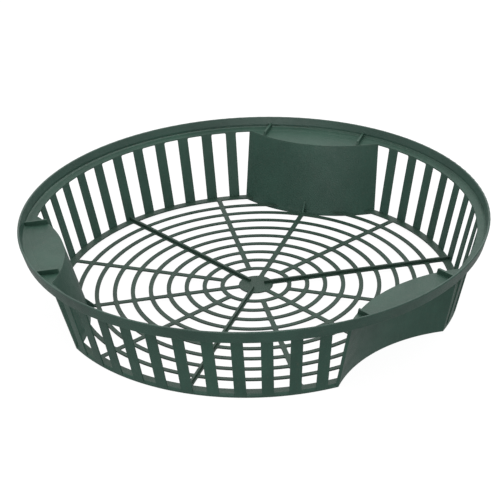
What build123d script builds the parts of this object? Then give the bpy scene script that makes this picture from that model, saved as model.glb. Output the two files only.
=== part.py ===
from build123d import *
from math import cos, radians, sin, sqrt, tan
import os

os.makedirs("parts", exist_ok=True)

# Soil sieve basket, one plastic moulding split into its named features.
# Millimetres, +Z up, origin at the centre of the underside.
# Recess 1 faces +Y. Everything repeats three times round Z.

# Overall
RIM_DIAMETER = 300.8
HEIGHT = 55.7
SECTORS = 3
SECTOR_ANGLE = 360.0 / SECTORS

# Floor grille
FLOOR_TOP = 3.0
FLOOR_THICKNESS = 0.9
FLOOR_UNDERSIDE = FLOOR_TOP - FLOOR_THICKNESS
LAP_HEIGHT = FLOOR_UNDERSIDE + FLOOR_THICKNESS / 2
HUB_RADIUS = 11.1
RING_COUNT = 9
FIRST_RING_RADIUS = 21.8
RING_PITCH = 11.7
RING_WIDTH = 2.8
SPOKE_COUNT = 12
SPOKE_WIDTH = 3.1
MARGIN_INNER_RADIUS = 126.4
OPENING_CORNER = 1.0

# Slotted wall
WALL_FOOT_RADIUS = 131.3
WALL_SLOPE = 13.6
WALL_THICKNESS = 0.9
SILL_HEIGHT = 1.3
SILL_TOP_WIDTH = 0.2
STAVES_PER_SECTOR = 11
STAVE_PITCH = 7.05
STAVE_WIDTH = 7.2
SLOT_CORNER = 1.0

# Rim
RIM_UNDERSIDE = 47.6
SHELF_TOP = 48.4
SHELF_RISE = 0.4
COVE_RADIUS = 1.2
LIP_FOOT_INNER_RADIUS = 147.2
LIP_KNEE_HEIGHT = 51.0
LIP_KNEE_RADIUS = 147.5
LIP_TOP_INNER_RADIUS = 149.0
LIP_FOOT_OUTER_RADIUS = 148.2
LIP_EDGE_ROUND = 0.5

# Finger recesses: a round wall that leans outwards
RECESS_RADIUS = 92.0
RECESS_FOOT_CENTRE = 201.4
RECESS_LEAN = 14.7
RECESS_THICKNESS = 1.8

# Stiffeners
RIB_OFFSET = 33.9
RIB_THICKNESS = 1.4
RIB_HEIGHT = 3.0
FIN_THICKNESS = 1.4
FIN_HEIGHT = 1.8
FIN_START = 5.5
FIN_NOSE = 1.0
GUSSET_THICKNESS = 1.0
GUSSET_HEIGHT = 6.0
GUSSET_FOOT = 4.5

RIM_RADIUS = RIM_DIAMETER / 2
WALL_OFFSET = WALL_THICKNESS / cos(radians(WALL_SLOPE))
REACH = RIM_DIAMETER
# Flares stop short of a feather edge
FLARE = 0.6


def wall_radius(z):
    """Radius of the wall's inner surface at height z."""
    return WALL_FOOT_RADIUS + (z - FLOOR_TOP) * tan(radians(WALL_SLOPE))


def ring_radius(number):
    """Centre radius of a floor ring, counted from 1 at the hub."""
    return FIRST_RING_RADIUS + (number - 1) * RING_PITCH


def cone_body(offset, z_low, z_high):
    """Solid inside the wall's inner surface moved outwards by offset."""
    body = Cone(wall_radius(z_low) + offset, wall_radius(z_high) + offset, z_high - z_low)
    return Pos(0, 0, (z_low + z_high) / 2) * body


def wall_shell(z_low, z_high):
    """The whole wall between two heights, without slots."""
    return cone_body(WALL_OFFSET, z_low, z_high) - cone_body(0, z_low, z_high)


def foot_ring():
    """The whole hoop round the floor, its outer edge sloping up to the slots."""
    outer_foot = wall_radius(0) + WALL_OFFSET
    outer_sill = wall_radius(SILL_HEIGHT) + WALL_OFFSET
    profile = Polyline(
        (wall_radius(0), 0),
        (outer_foot, 0),
        (outer_sill, SILL_HEIGHT),
        (wall_radius(FLOOR_TOP) + SILL_TOP_WIDTH, FLOOR_TOP),
        (wall_radius(FLOOR_TOP), FLOOR_TOP),
        close=True,
    )
    return revolve(Plane.XZ * make_face(profile), Axis.Z)


def recess_body(inset, z_low, z_high):
    """Solid of recess 1, with its surface drawn in by inset."""
    sections = []
    for z in (z_low, z_high):
        centre = RECESS_FOOT_CENTRE + z * tan(radians(RECESS_LEAN))
        sections.append(Pos(0, centre, z) * Circle(RECESS_RADIUS - inset))
    return loft(sections, ruled=True)


def recess_front(z):
    """Distance from the centre to the middle of recess 1 at height z."""
    return RECESS_FOOT_CENTRE - RECESS_RADIUS + z * tan(radians(RECESS_LEAN))


def turned(shape, angle):
    """A copy of the shape turned about Z."""
    return Rot(0, 0, angle) * shape


def slab(sketch, z_low, z_high):
    """A flat sketch as a plate between two heights."""
    return Pos(0, 0, z_low) * extrude(sketch, z_high - z_low)


def annulus(inner, outer):
    return Circle(outer) - Circle(inner)


def bar(width, start, end, z_low, z_high):
    """A straight bar along +Y."""
    sketch = Pos(0, (start + end) / 2) * Rectangle(width, end - start)
    return slab(sketch, z_low, z_high)


def web(inner, outer):
    """A spoke's outline between two rings, flared into both."""
    side = SPOKE_WIDTH / 2 + OPENING_CORNER
    low = sqrt((inner + OPENING_CORNER) ** 2 - side ** 2)
    high = sqrt((outer - OPENING_CORNER) ** 2 - side ** 2)
    width = SPOKE_WIDTH + 2 * FLARE * OPENING_CORNER
    outline = annulus(inner, outer) & Pos(0, outer / 2) * Rectangle(width, outer)
    for x in (-side, side):
        outline -= Pos(x, low) * Circle(OPENING_CORNER)
        outline -= Pos(x, high) * Circle(OPENING_CORNER)
        outline -= Pos(x, (low + high) / 2) * Rectangle(2 * OPENING_CORNER, high - low)
    return outline


def spoke(edges):
    """A spoke along +Y, half lapped under the rings between its webs."""
    start = sum(edges[0]) / 2
    end = sum(edges[-1]) / 2
    body = bar(SPOKE_WIDTH, start, end, FLOOR_UNDERSIDE, LAP_HEIGHT)
    for inner, outer in edges:
        body += slab(web(inner, outer), FLOOR_UNDERSIDE, FLOOR_TOP)
    return body


def front_piece(shape):
    """The solid of a shape that lies furthest towards -Y."""
    return shape.solids().sort_by(Axis.Y)[0]


def stave():
    """One stave centred on +Y, flared into the sill and the shelf and standing on the hoop."""
    height = RIM_UNDERSIDE - SILL_HEIGHT
    outline = Rectangle(STAVE_WIDTH + 2 * FLARE * SLOT_CORNER, height)
    for side in (-1, 1):
        outline -= Pos(side * STAVE_WIDTH, 0) * RectangleRounded(STAVE_WIDTH, height, SLOT_CORNER)
    middle = (RIM_UNDERSIDE + SILL_HEIGHT) / 2
    blade = extrude(Plane.XZ * Pos(0, middle) * outline, -REACH)
    return (wall_shell(SILL_HEIGHT, RIM_UNDERSIDE) & blade) - foot_ring()


parts = {}

# Rim
lip_profile = Polyline(
    (LIP_FOOT_INNER_RADIUS, RIM_UNDERSIDE),
    (LIP_FOOT_OUTER_RADIUS, RIM_UNDERSIDE),
    (RIM_RADIUS, HEIGHT),
    (LIP_TOP_INNER_RADIUS, HEIGHT),
    (LIP_KNEE_RADIUS, LIP_KNEE_HEIGHT),
    close=True,
)
lip_face = make_face(lip_profile)
lip_face = fillet(lip_face.vertices().sort_by(Axis.Y)[-2:], LIP_EDGE_ROUND)
rim_lip = revolve(Plane.XZ * lip_face, Axis.Z)
parts["rim_lip"] = rim_lip

lip_slope = (LIP_KNEE_RADIUS - LIP_FOOT_INNER_RADIUS) / (LIP_KNEE_HEIGHT - RIM_UNDERSIDE)
cove_top = SHELF_TOP + SHELF_RISE + COVE_RADIUS
cove_outer = LIP_FOOT_INNER_RADIUS + lip_slope * (cove_top - RIM_UNDERSIDE)
shelf_start = (wall_radius(SHELF_TOP), SHELF_TOP)
cove_start = (cove_outer - COVE_RADIUS, SHELF_TOP + SHELF_RISE)
cove_middle = (cove_outer - COVE_RADIUS * (1 - sin(radians(45))), cove_top - COVE_RADIUS * cos(radians(45)))
shelf_edge = Polyline(
    (cove_outer, cove_top),
    (LIP_FOOT_INNER_RADIUS, RIM_UNDERSIDE),
    (wall_radius(RIM_UNDERSIDE), RIM_UNDERSIDE),
    shelf_start,
    cove_start,
)
shelf_cove = ThreePointArc(cove_start, cove_middle, (cove_outer, cove_top))
shelf_face = make_face(shelf_edge + shelf_cove)
rim_shelf = revolve(Plane.XZ * shelf_face, Axis.Z)
parts["rim_shelf"] = rim_shelf

# Recess 1 as a solid, and all three, used to shape what stands round them
recess = recess_body(0, 0, SHELF_TOP)
recesses = [turned(recess, SECTOR_ANGLE * number) for number in range(SECTORS)]

# Slotted wall, its sill and the margin of the floor, in the sector round -Y
blade = stave()
wall_staves = Part()
for step in range(STAVES_PER_SECTOR):
    angle = STAVE_PITCH * (step - (STAVES_PER_SECTOR - 1) / 2)
    wall_staves += turned(blade, 180 + angle)
foot_hoop = front_piece(foot_ring() - recesses)
margin_plate = slab(annulus(MARGIN_INNER_RADIUS, RIM_RADIUS), FLOOR_UNDERSIDE, FLOOR_TOP)
floor_margin = front_piece((margin_plate & cone_body(0, FLOOR_UNDERSIDE, FLOOR_TOP)) - recesses)

# Wall of recess 1, its ledge and what stiffens them
recess_skin = recess_body(0, 0, RIM_UNDERSIDE) - recess_body(RECESS_THICKNESS, 0, RIM_UNDERSIDE)
recess_wall = recess_skin & cone_body(WALL_OFFSET, 0, RIM_UNDERSIDE)
recess_ledge = recess_body(0, RIM_UNDERSIDE, SHELF_TOP) & cone_body(0, RIM_UNDERSIDE, SHELF_TOP)
rib_blank = bar(RIB_THICKNESS, 0, RIM_RADIUS, SHELF_TOP, SHELF_TOP + RIB_HEIGHT)
rib_zone = recess_body(0, SHELF_TOP, SHELF_TOP + RIB_HEIGHT)
ledge_ribs = {}
for side, x in (("left", -RIB_OFFSET), ("right", RIB_OFFSET)):
    ledge_ribs[side] = front_piece((Pos(x, 0) * rib_blank & rib_zone) - rim_lip - rim_shelf)
gusset_top = FLOOR_TOP + GUSSET_HEIGHT
gusset_outline = Polyline(
    (recess_front(FLOOR_TOP) - GUSSET_FOOT, FLOOR_TOP),
    (RECESS_FOOT_CENTRE, FLOOR_TOP),
    (RECESS_FOOT_CENTRE, gusset_top),
    (recess_front(gusset_top), gusset_top),
    close=True,
)
gusset_blade = extrude(Plane.YZ * make_face(gusset_outline), GUSSET_THICKNESS / 2, both=True)
recess_gusset = gusset_blade - recess

for number in range(SECTORS):
    angle = SECTOR_ANGLE * number
    label = number + 1
    parts[f"wall_staves_{label}"] = turned(wall_staves, angle)
    parts[f"foot_hoop_{label}"] = turned(foot_hoop, angle)
    parts[f"floor_margin_{label}"] = turned(floor_margin, angle)
    parts[f"recess_wall_{label}"] = turned(recess_wall, angle)
    parts[f"recess_ledge_{label}"] = turned(recess_ledge, angle)
    parts[f"recess_gusset_{label}"] = turned(recess_gusset, angle)
    for side, rib in ledge_ribs.items():
        parts[f"ledge_rib_{label}_{side}"] = turned(rib, angle)

# Floor rings, notched underneath where the spokes pass
parts["floor_hub"] = slab(Circle(HUB_RADIUS), FLOOR_UNDERSIDE, FLOOR_TOP)
edges = [HUB_RADIUS]
lap = bar(SPOKE_WIDTH, 0, MARGIN_INNER_RADIUS, FLOOR_UNDERSIDE, LAP_HEIGHT)
for number in range(1, RING_COUNT + 1):
    inner = ring_radius(number) - RING_WIDTH / 2
    outer = ring_radius(number) + RING_WIDTH / 2
    edges += [inner, outer]
    spokes_crossing = SPOKE_COUNT // 2 if number == 1 else SPOKE_COUNT
    turns = [360 / spokes_crossing * step for step in range(spokes_crossing)]
    ring = slab(annulus(inner, outer), FLOOR_UNDERSIDE, FLOOR_TOP) - [turned(lap, turn) for turn in turns]
    if number < RING_COUNT:
        parts[f"floor_ring_{number}"] = ring
        continue
    arc = front_piece(ring - recesses)
    for sector in range(SECTORS):
        parts[f"floor_ring_{number}_arc_{sector + 1}"] = turned(arc, SECTOR_ANGLE * sector)
edges.append(MARGIN_INNER_RADIUS)

# Spokes: long ones from the hub, short ones from ring 1, and those cut off by a recess
gaps = list(zip(edges[0::2], edges[1::2]))
long_spoke = spoke(gaps)
short_spoke = spoke(gaps[1:])
recess_spoke = spoke(gaps[:-1]) - recess
for number in range(SPOKE_COUNT):
    turn = 360 / SPOKE_COUNT * number
    if number % 2:
        shape = short_spoke
    elif number % 4:
        shape = long_spoke
    else:
        shape = recess_spoke
    parts[f"floor_spoke_{number + 1:02d}"] = turned(shape, turn)

# Stiffening fins on the long spokes, from the hub to the wall
fin_blank = bar(FIN_THICKNESS, FIN_START, RIM_RADIUS, FLOOR_TOP, FLOOR_TOP + FIN_HEIGHT)
fin_blank = fillet(fin_blank.edges().filter_by(Axis.X).group_by(Axis.Y)[0].sort_by(Axis.Z)[-1], FIN_NOSE)
floor_fin = fin_blank & cone_body(0, FLOOR_TOP, FLOOR_TOP + FIN_HEIGHT)
for number in range(SECTORS):
    parts[f"floor_fin_{number + 1}"] = turned(floor_fin, 180 + SECTOR_ANGLE * number)

for name, shape in parts.items():
    export_step(shape, f"parts/{name}.step")
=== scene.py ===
import math

import bpy
from mathutils import Matrix, Vector


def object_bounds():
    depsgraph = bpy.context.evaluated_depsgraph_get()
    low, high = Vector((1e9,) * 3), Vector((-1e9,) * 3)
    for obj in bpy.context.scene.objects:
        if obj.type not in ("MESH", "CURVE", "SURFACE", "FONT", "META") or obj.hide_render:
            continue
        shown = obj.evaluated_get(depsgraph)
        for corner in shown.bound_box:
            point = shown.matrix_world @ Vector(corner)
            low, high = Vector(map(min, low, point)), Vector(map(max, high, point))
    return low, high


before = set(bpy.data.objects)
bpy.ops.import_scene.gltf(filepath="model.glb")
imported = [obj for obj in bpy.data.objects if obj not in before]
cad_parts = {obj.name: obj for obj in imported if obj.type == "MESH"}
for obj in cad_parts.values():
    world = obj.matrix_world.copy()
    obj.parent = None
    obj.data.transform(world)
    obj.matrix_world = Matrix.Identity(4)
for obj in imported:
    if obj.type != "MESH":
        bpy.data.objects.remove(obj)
cad_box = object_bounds()

# ---------------------------------------------------------------- materials

# Linear colours of the plastic, of the dust in its grain and of its paler edges. The rim's and
# the floor's greens are the plastic darkened as painted shade, and the pale edge colour is partly
# rub wear and partly a painted highlight
RIM_GREEN_WITH_PAINTED_SHADE = (0.0180, 0.0530, 0.0385)
LEDGE_GREEN = (0.0215, 0.0590, 0.0415)
WALL_GREEN = (0.0215, 0.0590, 0.0430)
FLOOR_GREEN_WITH_PAINTED_SHADE = (0.0180, 0.0430, 0.0300)
DUST = (0.085, 0.090, 0.070)
RUB_AND_PAINTED_HIGHLIGHT = (0.070, 0.120, 0.095)

# How far the clouds and flow marks shift the plastic's own colour, as factors of it
CLOUD_DARK = 0.84
CLOUD_LIGHT = 1.18
FLOW_LIGHT = 1.3

# Noise scales, in repeats per metre
CLOUD_SCALE = 28.0
FLOW_SCALE = 60.0
RIPPLE_SCALE = 75.0
POLISH_SCALE = 140.0
DUST_SCALE = 420.0

# Parts of the noise's range that are spread over an effect, and the most that it then mixes in
NOISE_SPAN = (0.3, 0.7)
FLOW_SPAN = (0.5, 0.75)
FLOW_MOST = 0.35
DUST_SPAN = (0.56, 0.8)
DUST_MOST = 0.3

# Agreement of the bevelled normal with the flat one: full rub and painted edge highlight at the
# first, untouched at the second
EDGE_SPAN = (0.78, 0.99)

# How much smoother and rougher the patchy polish makes the plastic
POLISH_SMOOTHER = 0.05
POLISH_ROUGHER = 0.07

# Bevels and bumps, with lengths in metres
BEVEL_SAMPLES = 6
EDGE_RUB_AND_HIGHLIGHT_RADIUS = 0.0006
EDGE_SOFTNESS = 0.00035
RIPPLE_STRENGTH = 0.35
RIPPLE_DEPTH = 0.0006
GRAIN_STRENGTH = 0.6
GRAIN_DEPTH = 0.0003

REFRACTIVE_INDEX = 1.49


def moulded_plastic(name, colour, roughness, gloss, grain_scale, flow_stretch, rub_and_highlight):
    """Satin injection-moulded polypropylene.

    Cloudy mottling, stretched flow marks, dust and pale edges, partly rub wear and partly a
    painted highlight, tint the colour, patchy polish changes the roughness, and softened edges,
    shallow ripples and the fine grain of the mould shape the normal.
    """
    material = bpy.data.materials.new(name)
    material.use_nodes = True
    tree = material.node_tree
    nodes, links = tree.nodes, tree.links
    shader = nodes["Principled BSDF"]
    shader.inputs["IOR"].default_value = REFRACTIVE_INDEX
    shader.inputs["Specular IOR Level"].default_value = gloss

    coordinates = nodes.new("ShaderNodeTexCoord")

    def noise(scale, detail, rough, stretch=(1.0, 1.0, 1.0)):
        mapping = nodes.new("ShaderNodeMapping")
        mapping.inputs["Scale"].default_value = stretch
        links.new(coordinates.outputs["Object"], mapping.inputs["Vector"])
        node = nodes.new("ShaderNodeTexNoise")
        node.inputs["Scale"].default_value = scale
        node.inputs["Detail"].default_value = detail
        node.inputs["Roughness"].default_value = rough
        links.new(mapping.outputs["Vector"], node.inputs["Vector"])
        return node.outputs["Fac"]

    def spread(value, span, low, high):
        node = nodes.new("ShaderNodeMapRange")
        node.inputs["From Min"].default_value, node.inputs["From Max"].default_value = span
        node.inputs["To Min"].default_value = low
        node.inputs["To Max"].default_value = high
        links.new(value, node.inputs["Value"])
        return node.outputs["Result"]

    def blend(amount, first, second):
        node = nodes.new("ShaderNodeMix")
        node.data_type = "RGBA"
        links.new(amount, node.inputs[0])
        for socket, value in ((node.inputs[6], first), (node.inputs[7], second)):
            if isinstance(value, bpy.types.NodeSocket):
                links.new(value, socket)
            else:
                socket.default_value = list(value) + [1.0]
        return node.outputs[2]

    def bevel(radius):
        node = nodes.new("ShaderNodeBevel")
        node.samples = BEVEL_SAMPLES
        node.inputs["Radius"].default_value = radius
        return node.outputs["Normal"]

    def bump(normal, height, strength, depth):
        node = nodes.new("ShaderNodeBump")
        node.inputs["Strength"].default_value = strength
        node.inputs["Distance"].default_value = depth
        links.new(normal, node.inputs["Normal"])
        links.new(height, node.inputs["Height"])
        return node.outputs["Normal"]

    def shade(factor):
        return [channel * factor for channel in colour]

    # Colour: clouds, then flow marks, then a little dust
    clouds = spread(noise(CLOUD_SCALE, detail=3.0, rough=0.55), NOISE_SPAN, 0.0, 1.0)
    flow = noise(FLOW_SCALE, detail=2.0, rough=0.5, stretch=flow_stretch)
    marks = spread(flow, FLOW_SPAN, 0.0, FLOW_MOST)
    dust = spread(noise(DUST_SCALE, detail=3.0, rough=0.65), DUST_SPAN, 0.0, DUST_MOST)
    tint = blend(clouds, shade(CLOUD_DARK), shade(CLOUD_LIGHT))
    tint = blend(marks, tint, shade(FLOW_LIGHT))
    tint = blend(dust, tint, DUST)

    # Edges a little paler, where a rounded edge would turn away from the flat face: partly rub
    # wear and partly a painted highlight
    surface = nodes.new("ShaderNodeNewGeometry")
    facing = nodes.new("ShaderNodeVectorMath")
    facing.operation = "DOT_PRODUCT"
    links.new(bevel(EDGE_RUB_AND_HIGHLIGHT_RADIUS), facing.inputs[0])
    links.new(surface.outputs["Normal"], facing.inputs[1])
    tint = blend(spread(facing.outputs["Value"], EDGE_SPAN, rub_and_highlight, 0.0), tint, RUB_AND_PAINTED_HIGHLIGHT)
    links.new(tint, shader.inputs["Base Color"])

    # Sheen: patchy polish
    patches = noise(POLISH_SCALE, detail=4.0, rough=0.6)
    polish = spread(patches, NOISE_SPAN, roughness - POLISH_SMOOTHER, roughness + POLISH_ROUGHER)
    links.new(polish, shader.inputs["Roughness"])

    # Surface: softened edges, shallow ripples, then the fine grain of the mould
    ripples = noise(RIPPLE_SCALE, detail=1.0, rough=0.4)
    grain = noise(grain_scale, detail=2.0, rough=0.5)
    normal = bump(bevel(EDGE_SOFTNESS), ripples, RIPPLE_STRENGTH, RIPPLE_DEPTH)
    normal = bump(normal, grain, GRAIN_STRENGTH, GRAIN_DEPTH)
    links.new(normal, shader.inputs["Normal"])
    return material


# The rim's and the floor's greens are darker copies of the one plastic, as painted shade
FINISHES = {
    "rim": moulded_plastic(
        "green_polypropylene_rim",
        RIM_GREEN_WITH_PAINTED_SHADE,
        roughness=0.36,
        gloss=0.45,
        grain_scale=1500.0,
        flow_stretch=(1.0, 1.0, 5.0),
        rub_and_highlight=0.6,
    ),
    "ledge": moulded_plastic(
        "green_polypropylene_ledge",
        LEDGE_GREEN,
        roughness=0.41,
        gloss=0.34,
        grain_scale=1500.0,
        flow_stretch=(2.0, 2.0, 1.0),
        rub_and_highlight=0.7,
    ),
    "wall": moulded_plastic(
        "green_polypropylene_wall",
        WALL_GREEN,
        roughness=0.44,
        gloss=0.32,
        grain_scale=1300.0,
        flow_stretch=(5.0, 5.0, 0.6),
        rub_and_highlight=0.4,
    ),
    "floor": moulded_plastic(
        "green_polypropylene_floor",
        FLOOR_GREEN_WITH_PAINTED_SHADE,
        roughness=0.42,
        gloss=0.30,
        grain_scale=1400.0,
        flow_stretch=(1.0, 1.0, 3.0),
        rub_and_highlight=0.1,
    ),
}

# The finish of nodes whose names start like this. All others have the wall's.
FINISH_OF_PREFIX = {
    "rim_lip": "rim",
    "rim_shelf": "ledge",
    "ledge": "ledge",
    "recess_ledge": "ledge",
    "floor": "floor",
}

for node_name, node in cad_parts.items():
    finish = "wall"
    for prefix, choice in FINISH_OF_PREFIX.items():
        if node_name.startswith(prefix):
            finish = choice
    node.data.materials.clear()
    node.data.materials.append(FINISHES[finish])

# ---------------------------------------------------------------- floor, light and camera

FLOOR_SIZE = 6.0
FLOOR_GAP = 0.0002
FLOOR_GREY = 0.1
FLOOR_GLOW = 0.95

bpy.ops.mesh.primitive_plane_add(size=FLOOR_SIZE, location=(0, 0, cad_box[0].z - FLOOR_GAP))
floor = bpy.context.object
floor.name = "studio_floor"
floor_material = bpy.data.materials.new("studio_floor")
floor_material.use_nodes = True
floor_shader = floor_material.node_tree.nodes["Principled BSDF"]
floor_shader.inputs["Base Color"].default_value = (FLOOR_GREY, FLOOR_GREY, FLOOR_GREY, 1)
floor_shader.inputs["Roughness"].default_value = 1.0
floor_shader.inputs["Specular IOR Level"].default_value = 0.0
floor_shader.inputs["Emission Color"].default_value = (1, 1, 1, 1)
floor_shader.inputs["Emission Strength"].default_value = FLOOR_GLOW
floor.data.materials.append(floor_material)
# The bright floor is only a backdrop: the lower half of the world lights the basket from below
floor.visible_diffuse = False
floor.visible_glossy = False

# Strength of the world, which rises between two heights just under the horizon
STUDIO_LOW = 0.45
STUDIO_HIGH = 1.02
RISE_START = -0.35
RISE_END = -0.03

world = bpy.data.worlds.new("studio")
bpy.context.scene.world = world
world.use_nodes = True
world_nodes, world_links = world.node_tree.nodes, world.node_tree.links
background = world_nodes["Background"]
background.inputs["Color"].default_value = (1, 1, 1, 1)
direction = world_nodes.new("ShaderNodeTexCoord")
height = world_nodes.new("ShaderNodeSeparateXYZ")
studio = world_nodes.new("ShaderNodeMapRange")
studio.inputs["From Min"].default_value = RISE_START
studio.inputs["From Max"].default_value = RISE_END
studio.inputs["To Min"].default_value = STUDIO_LOW
studio.inputs["To Max"].default_value = STUDIO_HIGH
world_links.new(direction.outputs["Generated"], height.inputs["Vector"])
world_links.new(height.outputs["Z"], studio.inputs["Value"])
world_links.new(studio.outputs["Result"], background.inputs["Strength"])


def softbox(name, position, size, power):
    """A round studio light at position that faces the origin."""
    data = bpy.data.lights.new(name, "AREA")
    data.shape = "DISK"
    data.size = size
    data.energy = power
    light = bpy.data.objects.new(name, data)
    light.location = position
    light.rotation_euler = (-Vector(position)).to_track_quat("-Z", "Y").to_euler()
    bpy.context.scene.collection.objects.link(light)


softbox("top_softbox", (0.1, 0.6, 1.5), size=1.5, power=13.0)
softbox("front_fill", (0.15, -1.4, 0.12), size=0.9, power=6.0)

# Camera: angles in radians, lengths in metres, and the lens and sensor in millimetres
CAMERA_AZIMUTH = 0.333184
CAMERA_DISTANCE = 1.001245
CAMERA_HEIGHT = 0.563551
CAMERA_PITCH = 0.490988
CAMERA_YAW = 0.003004
CAMERA_ROLL = -0.038203
CAMERA_LENS = 126.569
SENSOR_WIDTH = 36.0
CLIP_START = 0.05
CLIP_END = 50.0

camera_data = bpy.data.cameras.new("camera")
camera_data.sensor_width = SENSOR_WIDTH
camera_data.lens = CAMERA_LENS
camera_data.clip_start = CLIP_START
camera_data.clip_end = CLIP_END
camera = bpy.data.objects.new("camera", camera_data)
bpy.context.scene.collection.objects.link(camera)
turn = Matrix.Rotation(CAMERA_AZIMUTH + CAMERA_YAW, 4, "Z")
tilt = Matrix.Rotation(math.pi / 2 - CAMERA_PITCH, 4, "X")
roll = Matrix.Rotation(CAMERA_ROLL, 4, "Z")
stand = Matrix.Translation(
    (
        CAMERA_DISTANCE * math.sin(CAMERA_AZIMUTH),
        -CAMERA_DISTANCE * math.cos(CAMERA_AZIMUTH),
        CAMERA_HEIGHT,
    )
)
camera.matrix_world = stand @ turn @ tilt @ roll
bpy.context.scene.camera = camera
bpy.context.scene.view_settings.view_transform = "Standard"
